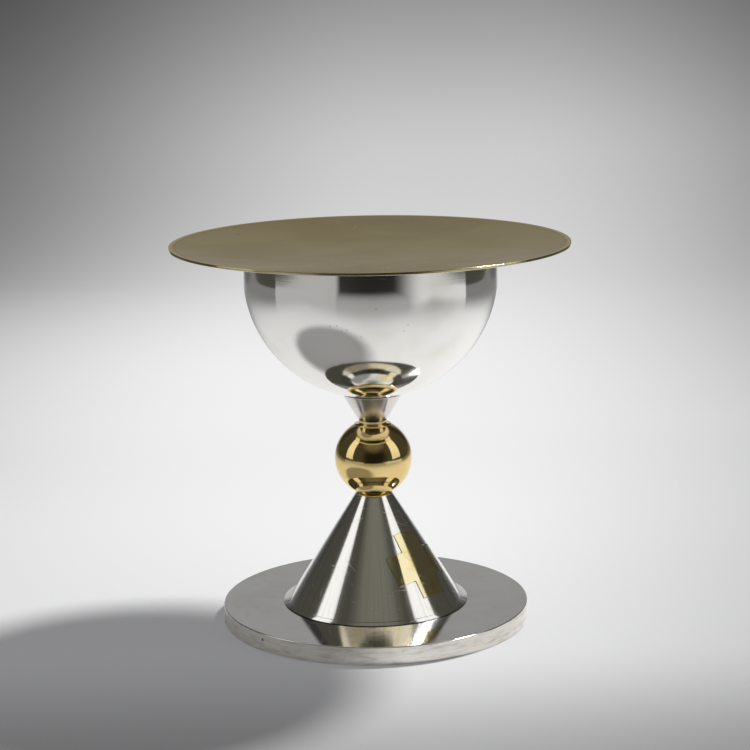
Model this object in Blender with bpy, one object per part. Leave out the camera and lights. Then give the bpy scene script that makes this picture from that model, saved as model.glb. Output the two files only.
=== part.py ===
"""Ciborium vessel: silver bowl on a stem with a gilt ball and a cone foot, and a loose gilt dish as its cover.

Every piece is turned about the upright axis of the vessel, apart from the cross let into the cone and
the hexagon nut.  Metres, +Z up, the front faces -Y, and the underside of the base lies on Z = 0.
"""
import math

import bmesh
import bpy
from mathutils import Vector

# --- clearances -------------------------------------------------------------------------------
JOINT_GAP = 0.0003          # air left between two pieces that touch
BORE_CLEARANCE = 0.0005     # air round the tie rod in every bore

# --- base plate and foot ring -----------------------------------------------------------------
PLATE_RADIUS = 0.078
PLATE_THICKNESS = 0.0092
PLATE_EDGE_BREAK = 0.0004
RECESS_RADIUS = 0.0096
RECESS_DEPTH = 0.0062
COVER_THICKNESS = 0.0008
FOOT_RING_OUTER_RADIUS = 0.0472
FOOT_RING_INNER_RADIUS = 0.0395
FOOT_RING_HEIGHT = 0.0005

# --- cone foot --------------------------------------------------------------------------------
CONE_TOP_RADIUS = 0.0093
CONE_HEIGHT = 0.0550
CONE_SLOPE = 0.636          # growth of the radius for each metre downwards
CONE_WALL = 0.0016
CONE_CROWN_THICKNESS = 0.0020
PLUG_HEIGHT = 0.0080

# --- cross let into the cone ------------------------------------------------------------------
CROSS_HALF_SPAN = 0.0176
CROSS_HALF_BAR = 0.0079
CROSS_CENTRE_BELOW_CROWN = 0.0319
CROSS_AZIMUTH = math.radians(49.6)   # from the front towards +X
CROSS_PROUD = 0.0001
CROSS_SUNK = 0.00045
POCKET_DEPTH = 0.0008
POCKET_OVERSHOOT = 0.0010
CROSS_ARM_STEPS = 4
CROSS_BAR_STEPS = 8

# --- ball knop --------------------------------------------------------------------------------
BALL_RADIUS = 0.0196
BALL_HALF_HEIGHT = 0.0175   # centre to either flat
BALL_WALL = 0.0015
KNOP_WASHER_RADIUS = 0.0094
KNOP_WASHER_THICKNESS = 0.0004
CORE_TUBE_RADIUS = 0.0050

# --- neck, collar and boss --------------------------------------------------------------------
NECK_RADIUS = 0.0069
NECK_HEIGHT = 0.0026
COLLAR_BOTTOM_RADIUS = 0.0073
COLLAR_TOP_RADIUS = 0.0154
COLLAR_HEIGHT = 0.0123
COLLAR_WALL = 0.0015
BOSS_RADIUS = 0.0048
BOSS_BLIND_END = 0.0026     # solid metal left above the bore of the boss

# --- bowl -------------------------------------------------------------------------------------
BOWL_RADIUS = 0.0638
BOWL_WALL = 0.0012

# --- dish cover -------------------------------------------------------------------------------
DISH_RADIUS = 0.100
DISH_DEPTH = 0.0050
DISH_THICKNESS = 0.0013
DISH_EDGE_BREAK = 0.0003
DISH_RIM_ABOVE_BOWL_CENTRE = 0.0147

# --- tie rod and what clamps it ---------------------------------------------------------------
ROD_RADIUS = 0.0030
ROD_END_ABOVE_COVER = 0.0004
NUT_ACROSS_FLATS = 0.010
NUT_THICKNESS = 0.0022
NUT_ABOVE_COVER = 0.0006
LOCK_WASHER_RADIUS = 0.0055
LOCK_WASHER_THICKNESS = 0.0007
CLAMP_WASHER_RADIUS = 0.0086
CLAMP_WASHER_THICKNESS = 0.0010

# --- facets -----------------------------------------------------------------------------------
WIDE_SIDES = 72
BALL_SIDES = 48
NARROW_SIDES = 36
NUT_BORE_SIDES = 24
BOWL_ARC_STEPS = 12
BALL_OUTER_STEPS = 16
BALL_INNER_STEPS = 8
DISH_STATIONS = 6
SHARP_ANGLE = math.radians(35.0)

# --- heights of the stack, from the table up --------------------------------------------------
BORE_RADIUS = ROD_RADIUS + BORE_CLEARANCE
FOOT_RING_BOTTOM = PLATE_THICKNESS + JOINT_GAP
CONE_BOTTOM = FOOT_RING_BOTTOM + FOOT_RING_HEIGHT + JOINT_GAP
CONE_TOP = CONE_BOTTOM + CONE_HEIGHT
LOWER_WASHER_BOTTOM = CONE_TOP + JOINT_GAP
BALL_BOTTOM = LOWER_WASHER_BOTTOM + KNOP_WASHER_THICKNESS + JOINT_GAP
BALL_CENTRE = BALL_BOTTOM + BALL_HALF_HEIGHT
BALL_TOP = BALL_CENTRE + BALL_HALF_HEIGHT
UPPER_WASHER_BOTTOM = BALL_TOP + JOINT_GAP
NECK_BOTTOM = UPPER_WASHER_BOTTOM + KNOP_WASHER_THICKNESS + JOINT_GAP
COLLAR_BOTTOM = NECK_BOTTOM + NECK_HEIGHT + JOINT_GAP
COLLAR_TOP = COLLAR_BOTTOM + COLLAR_HEIGHT
BOWL_CENTRE = COLLAR_TOP + JOINT_GAP + math.sqrt(BOWL_RADIUS ** 2 - COLLAR_TOP_RADIUS ** 2)
DISH_RIM = BOWL_CENTRE + DISH_RIM_ABOVE_BOWL_CENTRE
CLAMP_WASHER_BOTTOM = RECESS_DEPTH - JOINT_GAP - CLAMP_WASHER_THICKNESS
LOCK_WASHER_BOTTOM = CLAMP_WASHER_BOTTOM - JOINT_GAP - LOCK_WASHER_THICKNESS
NUT_BOTTOM = COVER_THICKNESS + NUT_ABOVE_COVER
ROD_BOTTOM = COVER_THICKNESS + ROD_END_ABOVE_COVER

# --- colours: base colour, roughness, metallic ------------------------------------------------
SILVER = ((0.80, 0.79, 0.76), 0.18, 1.0)
WORN_SILVER = ((0.66, 0.65, 0.62), 0.32, 1.0)
POLISHED_GILT = ((0.90, 0.66, 0.28), 0.12, 1.0)
SATIN_GILT = ((0.62, 0.53, 0.34), 0.34, 1.0)
BRASS = ((0.72, 0.56, 0.30), 0.35, 1.0)
STEEL = ((0.50, 0.50, 0.52), 0.38, 1.0)


def clear_scene():
    for leftover in list(bpy.data.objects):
        bpy.data.objects.remove(leftover, do_unlink=True)


def make_material(name, look):
    colour, roughness, metallic = look
    material = bpy.data.materials.new(name)
    material.use_nodes = True
    shader = material.node_tree.nodes["Principled BSDF"]
    shader.inputs["Base Color"].default_value = (*colour, 1.0)
    shader.inputs["Roughness"].default_value = roughness
    shader.inputs["Metallic"].default_value = metallic
    material.diffuse_color = (*colour, 1.0)
    material.roughness = roughness
    material.metallic = metallic
    return material


def finish_object(name, mesh_builder, look):
    """Turn a finished bmesh into a named, smooth-shaded object with its own material."""
    bmesh.ops.recalc_face_normals(mesh_builder, faces=mesh_builder.faces)
    mesh = bpy.data.meshes.new(name)
    mesh_builder.to_mesh(mesh)
    mesh_builder.free()
    mesh.shade_smooth()
    mesh.set_sharp_from_angle(angle=SHARP_ANGLE)
    piece = bpy.data.objects.new(name, mesh)
    bpy.context.scene.collection.objects.link(piece)
    piece.data.materials.append(make_material(name + "_finish", look))
    return piece


def turned(name, profile, look, sides=NARROW_SIDES):
    """Solid of revolution of a closed outline of (radius, height) points.

    A point on the axis becomes one shared vertex, so a solid piece closes at its poles.
    """
    builder = bmesh.new()
    rings = []
    for radius, height in profile:
        if radius == 0.0:
            rings.append([builder.verts.new((0.0, 0.0, height))])
            continue
        ring = []
        for side in range(sides):
            angle = 2.0 * math.pi * side / sides
            ring.append(builder.verts.new((radius * math.cos(angle), radius * math.sin(angle), height)))
        rings.append(ring)
    for upper, lower in zip(rings, rings[1:] + rings[:1]):
        for side in range(sides):
            following = (side + 1) % sides
            corners = [upper[side % len(upper)], upper[following % len(upper)],
                       lower[following % len(lower)], lower[side % len(lower)]]
            distinct = list(dict.fromkeys(corners))
            if len(distinct) > 2:
                builder.faces.new(distinct)
    return finish_object(name, builder, look)


def sleeve_outline(outer_radius, bore_radius, bottom, height):
    return [
        (outer_radius, bottom + height),
        (outer_radius, bottom),
        (bore_radius, bottom),
        (bore_radius, bottom + height),
    ]


def arc_points(radius, centre_height, start_angle, end_angle, steps):
    """Points of an arc about the axis; the angle is measured up from the horizontal."""
    points = []
    for step in range(steps + 1):
        angle = start_angle + (end_angle - start_angle) * step / steps
        points.append((radius * math.cos(angle), centre_height + radius * math.sin(angle)))
    return points


def cone_radius(height):
    """Radius of the cone's outer face at a height above the table."""
    return CONE_TOP_RADIUS + CONE_SLOPE * (CONE_TOP - height)


def dish_top(radius):
    """Height of the dish's inner face at a radius."""
    return DISH_RIM - DISH_DEPTH * (1.0 - (radius / DISH_RADIUS) ** 2)


def make_base_plate():
    inset = PLATE_RADIUS - PLATE_EDGE_BREAK
    outline = [
        (inset, PLATE_THICKNESS),
        (PLATE_RADIUS, PLATE_THICKNESS - PLATE_EDGE_BREAK),
        (PLATE_RADIUS, PLATE_EDGE_BREAK),
        (inset, 0.0),
        (RECESS_RADIUS, 0.0),
        (RECESS_RADIUS, RECESS_DEPTH),
        (BORE_RADIUS, RECESS_DEPTH),
        (BORE_RADIUS, PLATE_THICKNESS),
    ]
    return turned("base_plate", outline, WORN_SILVER, WIDE_SIDES)


def make_recess_cover():
    radius = RECESS_RADIUS - JOINT_GAP
    outline = [(0.0, COVER_THICKNESS), (radius, COVER_THICKNESS), (radius, 0.0), (0.0, 0.0)]
    return turned("recess_cover", outline, WORN_SILVER)


def make_foot_ring():
    outline = sleeve_outline(FOOT_RING_OUTER_RADIUS, FOOT_RING_INNER_RADIUS, FOOT_RING_BOTTOM,
                             FOOT_RING_HEIGHT)
    return turned("foot_ring", outline, WORN_SILVER, WIDE_SIDES)


def cone_wall_inset():
    """Level distance through the cone's slanted wall."""
    return CONE_WALL * math.sqrt(1.0 + CONE_SLOPE ** 2)


def make_foot_cone():
    crown_underside = CONE_TOP - CONE_CROWN_THICKNESS
    outline = [
        (CONE_TOP_RADIUS, CONE_TOP),
        (cone_radius(CONE_BOTTOM), CONE_BOTTOM),
        (cone_radius(CONE_BOTTOM) - cone_wall_inset(), CONE_BOTTOM),
        (cone_radius(crown_underside) - cone_wall_inset(), crown_underside),
        (BORE_RADIUS, crown_underside),
        (BORE_RADIUS, CONE_TOP),
    ]
    cone = turned("foot_cone", outline, SILVER, WIDE_SIDES)
    cutter = cross_slab("cross_pocket_cutter", JOINT_GAP, -POCKET_DEPTH, POCKET_OVERSHOOT, SILVER)
    cutter.hide_render = True
    cutter.display_type = "WIRE"
    pocket = cone.modifiers.new("cross_pocket", "BOOLEAN")
    pocket.operation = "DIFFERENCE"
    pocket.solver = "EXACT"
    pocket.object = cutter
    return cone


def make_cone_plug():
    top = CONE_TOP - CONE_CROWN_THICKNESS - JOINT_GAP
    bottom = top - PLUG_HEIGHT
    side_inset = cone_wall_inset() + JOINT_GAP * 1.5
    outline = [
        (cone_radius(top) - side_inset, top),
        (cone_radius(bottom) - side_inset, bottom),
        (BORE_RADIUS, bottom),
        (BORE_RADIUS, top),
    ]
    return turned("cone_plug", outline, BRASS)


def cross_lines(half_bar, half_span):
    """Grid lines across the cross: one arm, the bar, the other arm."""
    lines = []
    for step in range(CROSS_ARM_STEPS):
        lines.append(-half_span + (half_span - half_bar) * step / CROSS_ARM_STEPS)
    for step in range(CROSS_BAR_STEPS):
        lines.append(-half_bar + 2.0 * half_bar * step / CROSS_BAR_STEPS)
    for step in range(CROSS_ARM_STEPS + 1):
        lines.append(half_bar + (half_span - half_bar) * step / CROSS_ARM_STEPS)
    return lines


def on_cone(along, across, lift):
    """Point of the cone's developed surface, lifted off it along its normal.

    `along` runs down the slant from the middle of the cross and `across` runs square to it.
    """
    slant_per_height = math.sqrt(1.0 + CONE_SLOPE ** 2)
    centre_height = CONE_TOP - CROSS_CENTRE_BELOW_CROWN
    centre_slant = cone_radius(centre_height) * slant_per_height / CONE_SLOPE
    slant = math.hypot(centre_slant + along, across)
    opening = math.atan2(across, centre_slant + along)
    azimuth = CROSS_AZIMUTH + opening * slant_per_height / CONE_SLOPE
    radius = slant * CONE_SLOPE / slant_per_height
    height = CONE_TOP - (radius - CONE_TOP_RADIUS) / CONE_SLOPE
    outward = Vector((math.sin(azimuth), -math.cos(azimuth), CONE_SLOPE)) / slant_per_height
    return Vector((radius * math.sin(azimuth), -radius * math.cos(azimuth), height)) + outward * lift


def cross_slab(name, growth, inner_lift, outer_lift, look):
    """Equal-armed cross bent to the cone, between two distances from the cone's face."""
    lines = cross_lines(CROSS_HALF_BAR + growth, CROSS_HALF_SPAN + growth)
    bar_start = CROSS_ARM_STEPS
    bar_end = CROSS_ARM_STEPS + CROSS_BAR_STEPS
    builder = bmesh.new()
    corners = {}

    def corner(row, column, lift):
        key = (row, column, lift)
        if key not in corners:
            corners[key] = builder.verts.new(on_cone(lines[row], lines[column], lift))
        return corners[key]

    def filled(row, column):
        if not (0 <= row < len(lines) - 1 and 0 <= column < len(lines) - 1):
            return False
        return bar_start <= row < bar_end or bar_start <= column < bar_end

    for row in range(len(lines) - 1):
        for column in range(len(lines) - 1):
            if not filled(row, column):
                continue
            cell = [(row, column), (row, column + 1), (row + 1, column + 1), (row + 1, column)]
            builder.faces.new([corner(r, c, outer_lift) for r, c in cell])
            builder.faces.new([corner(r, c, inner_lift) for r, c in reversed(cell)])
            neighbours = [(row - 1, column), (row, column + 1), (row + 1, column), (row, column - 1)]
            for edge, neighbour in enumerate(neighbours):
                if filled(*neighbour):
                    continue
                first = cell[edge]
                second = cell[(edge + 1) % len(cell)]
                builder.faces.new([
                    corner(*first, outer_lift),
                    corner(*first, inner_lift),
                    corner(*second, inner_lift),
                    corner(*second, outer_lift),
                ])
    return finish_object(name, builder, look)


def make_cross_inlay():
    return cross_slab("cross_inlay", 0.0, -CROSS_SUNK, CROSS_PROUD, POLISHED_GILT)


def make_knop_washer(name, bottom):
    outline = sleeve_outline(KNOP_WASHER_RADIUS, BORE_RADIUS, bottom, KNOP_WASHER_THICKNESS)
    return turned(name, outline, POLISHED_GILT)


def make_knop_ball():
    bore = CORE_TUBE_RADIUS + JOINT_GAP
    inner_radius = BALL_RADIUS - BALL_WALL
    inner_half_height = BALL_HALF_HEIGHT - BALL_WALL
    outer_limit = math.asin(BALL_HALF_HEIGHT / BALL_RADIUS)
    inner_limit = math.asin(inner_half_height / inner_radius)
    outline = [(bore, BALL_TOP)]
    outline += arc_points(BALL_RADIUS, BALL_CENTRE, outer_limit, -outer_limit, BALL_OUTER_STEPS)
    outline += [(bore, BALL_BOTTOM), (bore, BALL_BOTTOM + BALL_WALL)]
    outline += arc_points(inner_radius, BALL_CENTRE, -inner_limit, inner_limit, BALL_INNER_STEPS)
    outline += [(bore, BALL_TOP - BALL_WALL)]
    return turned("knop_ball", outline, POLISHED_GILT, BALL_SIDES)


def make_knop_core_tube():
    outline = sleeve_outline(CORE_TUBE_RADIUS, BORE_RADIUS, BALL_BOTTOM, BALL_TOP - BALL_BOTTOM)
    return turned("knop_core_tube", outline, BRASS)


def make_stem_neck():
    outline = sleeve_outline(NECK_RADIUS, BORE_RADIUS, NECK_BOTTOM, NECK_HEIGHT)
    return turned("stem_neck", outline, POLISHED_GILT)


def bowl_outer_height(radius):
    """Height of the underside of the bowl at a radius."""
    return BOWL_CENTRE - math.sqrt(BOWL_RADIUS ** 2 - radius ** 2)


def make_stem_collar():
    inner_top_radius = COLLAR_TOP_RADIUS - COLLAR_WALL
    inner_top = bowl_outer_height(inner_top_radius) - JOINT_GAP
    outline = [
        (COLLAR_TOP_RADIUS, COLLAR_TOP),
        (COLLAR_BOTTOM_RADIUS, COLLAR_BOTTOM),
        (COLLAR_BOTTOM_RADIUS - COLLAR_WALL, COLLAR_BOTTOM),
        (inner_top_radius, inner_top),
    ]
    return turned("stem_collar", outline, SILVER)


def make_bowl_boss():
    top = bowl_outer_height(0.0) - JOINT_GAP
    bottom = COLLAR_BOTTOM + JOINT_GAP
    bore_end = top - BOSS_BLIND_END
    outline = [
        (0.0, top),
        (BOSS_RADIUS, top),
        (BOSS_RADIUS, bottom),
        (BORE_RADIUS, bottom),
        (BORE_RADIUS, bore_end),
        (0.0, bore_end),
    ]
    return turned("bowl_boss", outline, SILVER)


def make_bowl_shell():
    inner_radius = BOWL_RADIUS - BOWL_WALL
    rim = dish_top(inner_radius) - DISH_THICKNESS - JOINT_GAP
    quarter = math.pi / 2.0
    outline = [(BOWL_RADIUS, rim)]
    outline += arc_points(BOWL_RADIUS, BOWL_CENTRE, 0.0, -quarter, BOWL_ARC_STEPS)[:-1]
    outline += [(0.0, BOWL_CENTRE - BOWL_RADIUS), (0.0, BOWL_CENTRE - inner_radius)]
    outline += arc_points(inner_radius, BOWL_CENTRE, -quarter, 0.0, BOWL_ARC_STEPS)[1:]
    outline += [(inner_radius, rim)]
    return turned("bowl_shell", outline, SILVER, WIDE_SIDES)


def make_paten_dish():
    """Shallow dish of even thickness with a square edge whose corners are just broken."""
    stations = [DISH_RADIUS * step / DISH_STATIONS for step in range(DISH_STATIONS)]
    inset = DISH_RADIUS - DISH_EDGE_BREAK
    outline = [(radius, dish_top(radius)) for radius in stations]
    outline += [
        (inset, DISH_RIM),
        (DISH_RADIUS, DISH_RIM - DISH_EDGE_BREAK),
        (DISH_RADIUS, DISH_RIM - DISH_THICKNESS + DISH_EDGE_BREAK),
        (inset, DISH_RIM - DISH_THICKNESS),
    ]
    outline += [(radius, dish_top(radius) - DISH_THICKNESS) for radius in reversed(stations)]
    return turned("paten_dish", outline, SATIN_GILT, WIDE_SIDES)


def make_tie_rod():
    top = bowl_outer_height(0.0) - JOINT_GAP - BOSS_BLIND_END - BORE_CLEARANCE
    outline = [(0.0, top), (ROD_RADIUS, top), (ROD_RADIUS, ROD_BOTTOM), (0.0, ROD_BOTTOM)]
    return turned("tie_rod", outline, STEEL)


def make_clamp_washer():
    outline = sleeve_outline(CLAMP_WASHER_RADIUS, BORE_RADIUS, CLAMP_WASHER_BOTTOM,
                             CLAMP_WASHER_THICKNESS)
    return turned("clamp_washer", outline, BRASS)


def make_lock_washer():
    outline = sleeve_outline(LOCK_WASHER_RADIUS, BORE_RADIUS, LOCK_WASHER_BOTTOM,
                             LOCK_WASHER_THICKNESS)
    return turned("lock_washer", outline, STEEL)


def make_clamp_nut():
    """Hexagon nut; its bore is a plain one that clears the rod."""
    nut_sides = 6
    corner_radius = NUT_ACROSS_FLATS / (2.0 * math.cos(math.pi / nut_sides))
    builder = bmesh.new()
    loops = []
    for radius, height in sleeve_outline(corner_radius, BORE_RADIUS, NUT_BOTTOM, NUT_THICKNESS):
        sides = nut_sides if radius == corner_radius else NUT_BORE_SIDES
        angles = [2.0 * math.pi * side / sides for side in range(sides)]
        loops.append([builder.verts.new((radius * math.cos(a), radius * math.sin(a), height))
                      for a in angles])
    outer_top, outer_bottom, bore_bottom, bore_top = loops
    for upper, lower in ((outer_top, outer_bottom), (bore_top, bore_bottom)):
        for side in range(len(upper)):
            following = (side + 1) % len(upper)
            builder.faces.new([upper[side], upper[following], lower[following], lower[side]])
    share = len(bore_top) // nut_sides
    for outer, bore in ((outer_top, bore_top), (outer_bottom, bore_bottom)):
        for side in range(nut_sides):
            span = [bore[(side * share + step) % len(bore)] for step in range(share + 1)]
            builder.faces.new([outer[side], outer[(side + 1) % nut_sides]] + span[::-1])
    return finish_object("clamp_nut", builder, STEEL)


def build_vessel():
    clear_scene()
    make_base_plate()
    make_recess_cover()
    make_foot_ring()
    make_foot_cone()
    make_cone_plug()
    make_cross_inlay()
    make_knop_washer("knop_washer_lower", LOWER_WASHER_BOTTOM)
    make_knop_ball()
    make_knop_core_tube()
    make_knop_washer("knop_washer_upper", UPPER_WASHER_BOTTOM)
    make_stem_neck()
    make_stem_collar()
    make_bowl_boss()
    make_bowl_shell()
    make_paten_dish()
    make_tie_rod()
    make_clamp_washer()
    make_lock_washer()
    make_clamp_nut()


build_vessel()
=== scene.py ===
"""Looks of the ciborium vessel: turned metal surfaces, inlaid cross, worn silver and gilt, plain studio.

Metres, +Z up, the front faces -Y, the vessel stands on Z = 0 with its axis on the Z axis.
"""
import functools
import math

import bmesh
import bpy
from mathutils import Euler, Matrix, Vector


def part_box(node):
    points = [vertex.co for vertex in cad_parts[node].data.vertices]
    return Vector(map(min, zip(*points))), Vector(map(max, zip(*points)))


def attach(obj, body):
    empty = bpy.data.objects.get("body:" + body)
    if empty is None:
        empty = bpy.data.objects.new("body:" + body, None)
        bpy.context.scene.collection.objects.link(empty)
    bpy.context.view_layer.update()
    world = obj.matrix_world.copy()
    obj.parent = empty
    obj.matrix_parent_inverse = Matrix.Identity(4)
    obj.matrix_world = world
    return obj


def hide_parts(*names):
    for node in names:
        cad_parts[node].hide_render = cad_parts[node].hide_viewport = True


# --- how finely the surfaces are made ---
WIDE_SEGMENTS = 480         # round the bowl, dish, plate, ring and cone
NARROW_SEGMENTS = 240       # round the ball, collar, neck and washers
FILLET_STEPS = 6
BOWL_STEPS = 96
BALL_STEPS = 96
BALL_INNER_STEPS = 32
DISH_STEPS = 60
RIM_STEPS = 12
CONE_STEPS = 24
SUPPORT_SHARE = 0.35        # a ring this share of a fillet away keeps the flat beside it flat

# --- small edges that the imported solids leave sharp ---
PLATE_EDGE_RADIUS = 0.00045
DISH_EDGE_RADIUS = 0.00022
BOWL_RIM_RADIUS = 0.0004
THIN_EDGE_RADIUS = 0.00015
CONE_EDGE_RADIUS = 0.00025
BALL_EDGE_RADIUS = 0.0001

# --- shapes that a node's box doesn't give ---
BORE_RADIUS = 0.0035
RECESS_RADIUS = 0.0096
RECESS_DEPTH = 0.0062
RING_INNER_RADIUS = 0.0395
RING_LIP = 0.00015
SEAM_GAP = 0.00004
RING_NORMAL_REACH = 0.5     # how far from the cone's normal a face of the ring still takes it
CONE_NORMAL_REACH = 0.999
CONE_TOP_RADIUS = 0.0093
CONE_WALL = 0.0016
CONE_CROWN_THICKNESS = 0.0020
WASHER_SQUEEZE = 0.00028
WASHER_SET_BACK = 0.0001
WASHER_BRIM = 0.00022
BALL_BORE_RADIUS = 0.0053
BALL_WALL = 0.0015
COLLAR_BOTTOM_RADIUS = 0.0073
COLLAR_WALL = 0.0015
COLLAR_DROP = 0.0014        # the collar hides this much of the neck
BOWL_WALL = 0.0012
DISH_DEPTH = 0.0050
DISH_THICKNESS = 0.0013
FACING_DOWN = -0.5          # normals of the dish lower than this are its underside

# --- cross let into the cone ---
CROSS_HALF_SPAN = 0.0176
CROSS_HALF_BAR = 0.0079
CROSS_CENTRE_BELOW_CROWN = 0.0319
CROSS_AZIMUTH = math.radians(49.6)   # from the front towards +X
CROSS_PROUD = 0.0001
CROSS_SUNK = 0.00045
CROSS_EDGE_BREAK = 0.00012
CROSS_SHARP_ANGLE = math.radians(30.0)
POCKET_MARGIN = 0.0003
POCKET_DEPTH = 0.0008
POCKET_OVERSHOOT = 0.0010
CROSS_ARM_STEPS = 6
CROSS_BAR_STEPS = 10

# --- wear, at its places on the vessel ---
BOWL_PITS = (
    (-0.0195, -0.0583, 0.1627),
    (-0.0162, -0.0594, 0.1629),
    (-0.0139, -0.0592, 0.1604),
    (-0.0115, -0.0599, 0.1610),
    (-0.0049, -0.0596, 0.1574),
    (0.0155, -0.0586, 0.1598),
    (0.0174, -0.0590, 0.1627),
    (0.0024, -0.0632, 0.1714),
    (-0.0459, -0.0267, 0.1444),
)
PIT_RADIUS = 0.00045
BOWL_SMUDGE = (0.0572, -0.0272, 0.1720)
BOWL_SMUDGE_RADIUS = 0.0035
# centre, heading in degrees from +X towards +Y, length and width of each scratch in the dish
DISH_STROKES = (
    ((-0.043, 0.012), 60.0, 0.018, 0.0004),
    ((-0.047, -0.020), 75.0, 0.014, 0.0004),
    ((-0.023, -0.028), 48.0, 0.020, 0.0004),
    ((-0.029, -0.070), 20.0, 0.012, 0.0004),
    ((0.024, 0.055), 110.0, 0.022, 0.0003),
    ((-0.008, 0.070), 80.0, 0.014, 0.0004),
    ((0.008, -0.066), 100.0, 0.016, 0.0004),
    ((0.049, -0.045), 135.0, 0.018, 0.0004),
)
DISH_LINE_RADIUS = 0.0972
DISH_LINE_WIDTH = 0.0009
# painted highlight: a pale band near the dish's rim stands in for the light on its lip
DISH_HIGHLIGHT_RADIUS = 0.0990
DISH_HIGHLIGHT_WIDTH = 0.0014
DISH_SMUDGE = (-0.068, 0.045, 0.1925)
DISH_SMUDGE_RADIUS = 0.007
PLATE_SIDE_TOP = 0.0090
PLATE_NICK = (-0.0560, -0.0545, 0.0060)
PLATE_NICK_RADIUS = 0.0012

PLATE_SIDE_FADE = 0.0003
STREAK_GRAIN = (90.0, 90.0, 500.0)  # how often the streaks of the plate's edge change along X, Y and Z

# --- how the masks of wear fade ---
MICRON = 0.000001
NOISE_RANGE = (0.3, 0.7)    # nearly all of a noise lies between these
SCRATCH_CORE = 0.5          # share of a scratch's width that is fully scratched
STROKE_FULL = 0.3           # share of a stroke's size at which it starts to fade
STROKE_FADED = 0.7
BAND_CORE = 0.4
SPOT_GRAIN = 3.0            # ripples of a spot's outline for each radius
SPOT_SOFTNESS = 0.4

# --- colours ---
WHITE = (1.0, 1.0, 1.0)
SILVER = (0.93, 0.92, 0.89)
SILVER_FILM = (0.80, 0.77, 0.71)
SILVER_GREY = (0.74, 0.70, 0.67)
PLATE_FILM = (0.86, 0.84, 0.79)
TARNISH = (0.36, 0.31, 0.24)
TARNISH_DEEP = (0.10, 0.08, 0.06)
GILT = (0.84, 0.62, 0.25)
GILT_PALE = (0.87, 0.68, 0.33)
GILT_WORN = (0.93, 0.83, 0.52)
DISH_GILT = (0.65, 0.56, 0.35)
DISH_GILT_DARK = (0.54, 0.46, 0.26)
DISH_EDGE_TINT = (0.93, 0.85, 0.66)
DISH_UNDER = (0.86, 0.80, 0.66)
BRASS = (0.72, 0.56, 0.30)
STEEL = (0.50, 0.50, 0.52)
HIDDEN_SHADE = 0.75         # the darker clouds of a hidden metal

# --- camera ---
CAMERA_PLACE = (0.0, -1.030, 0.3429)
CAMERA_LENS = 100.1         # millimetres, on Blender's 36 mm sensor
CAMERA_PITCH = math.radians(-11.87)
CAMERA_YAW = math.radians(-0.084)
CAMERA_ROLL = math.radians(-0.94)
CAMERA_CLIP = (0.05, 20.0)

# --- studio ---
SEEN_FLOOR = (-3.0, 3.0)            # front edge and half width of the floor that the camera sees
SEEN_WALL = (1.45, 0.40, 2.6)       # distance, sweep radius and height of the wall that the camera sees
PAPER_FLOOR = (0.02, 1.00)          # the same two of the paper that the metal mirrors
PAPER_WALL = (0.90, 0.25, 1.3)      # the same three of its wall
FRONT_TABLE = (-1.15, 0.02, 1.15)   # front edge, back edge and half width of the table before the vessel
SWEEP_STEPS = 24
CARD_STEPS = 12
CARD_DISTANCE = 0.75
SOFTBOX_GLOW = (1.0, 1.0, 0.98)
SOFTBOX_FALL = (0.10, 0.45, 0.86)   # heights between which a softbox brightens, and its share at the first
# azimuths in degrees from the front, seen from the vessel, then the lowest and highest height
LEFT_SOFTBOX = (-89.0, -64.0, 0.10, 1.25)
RIGHT_SOFTBOX = (57.5, 87.0, 0.10, 1.25)
# azimuth, elevation, inner and outer half angle in degrees, and glow of the soft ceiling patch
CEILING_PATCH = (2.0, 52.0, 4.0, 34.0, 0.11)
# the same of the dark round the camera, with the share of the glow that is left there
CAMERA_PATCH = (5.0, 8.0, 16.0, 44.0, 0.25)
KEY_AZIMUTH = math.radians(129.0)
KEY_ELEVATION = math.radians(56.0)
KEY_DISTANCE = 2.0
KEY_SIZE = 0.30
KEY_CONE = math.radians(34.0)
KEY_AIM = (0.0, 0.10, 0.0)
KEY_POWER = 120.0
ROOM_GLOW = 0.06
PALE_GLOW = 0.55
FILL_GLOW = 0.27
STUDIO_TINT = (0.97, 0.975, 1.0)
ROOM_TINT = (1.0, 0.975, 0.80)

# --- painted falls of light and shade: two places, metres unless said, then the value at each of them ---
FLOOR_SHADE = 0.98
# painted shade: the seen floor's colour darkens towards the front and towards the right
FLOOR_FRONT_PAINTED_SHADE = (-0.21, -0.05, 0.58, 1.0)
FLOOR_RIGHT_PAINTED_SHADE = (-0.02, 0.30, 1.0, 0.64)
FLOOR_TO_BACK = (0.05, 0.45, 0.0, 1.0)      # from lit paper to the painted glow of the back
# painted light: the seen back glows by itself, rising from the floor and darker towards its top and its
# sides
BACK_PAINTED_GLOW_RISE = (0.55, 1.60, 0.88, 0.58)
BACK_PAINTED_GLOW_TOP = (1.40, 1.85, 1.0, 0.38)
BACK_MIDDLE = (0.6, 1.5, -0.02, 0.09)       # values here and next: metres across
BACK_EDGE = (0.6, 1.5, 0.64, 0.58)
BACK_CORE = 0.05
BACK_SIDE_GLOW = 0.28
PAPER_SHADE = (0.90, 0.90, 0.90)
# painted light: the mirrored wall glows by itself, darker upwards and to its sides
PAPER_LOW = (0.02, 0.25, 0.82, 0.30)
PAPER_HIGH = (0.25, 0.60, 1.0, 0.80)
PAPER_BESIDE = (0.26, 0.50, 1.0, 0.14)
PAPER_FOOT = (0.0, 0.03, 0.20)              # at the wall's foot; above it the wall's own painted glow
PAPER_TO_WALL = (0.0, 0.06, 0.0, 1.0)       # from lit paper to the painted glow of the wall
TO_SIDES = (0.35, 0.65, 0.0, 1.0)           # from lit paper to painted glow, far out to both sides
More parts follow.
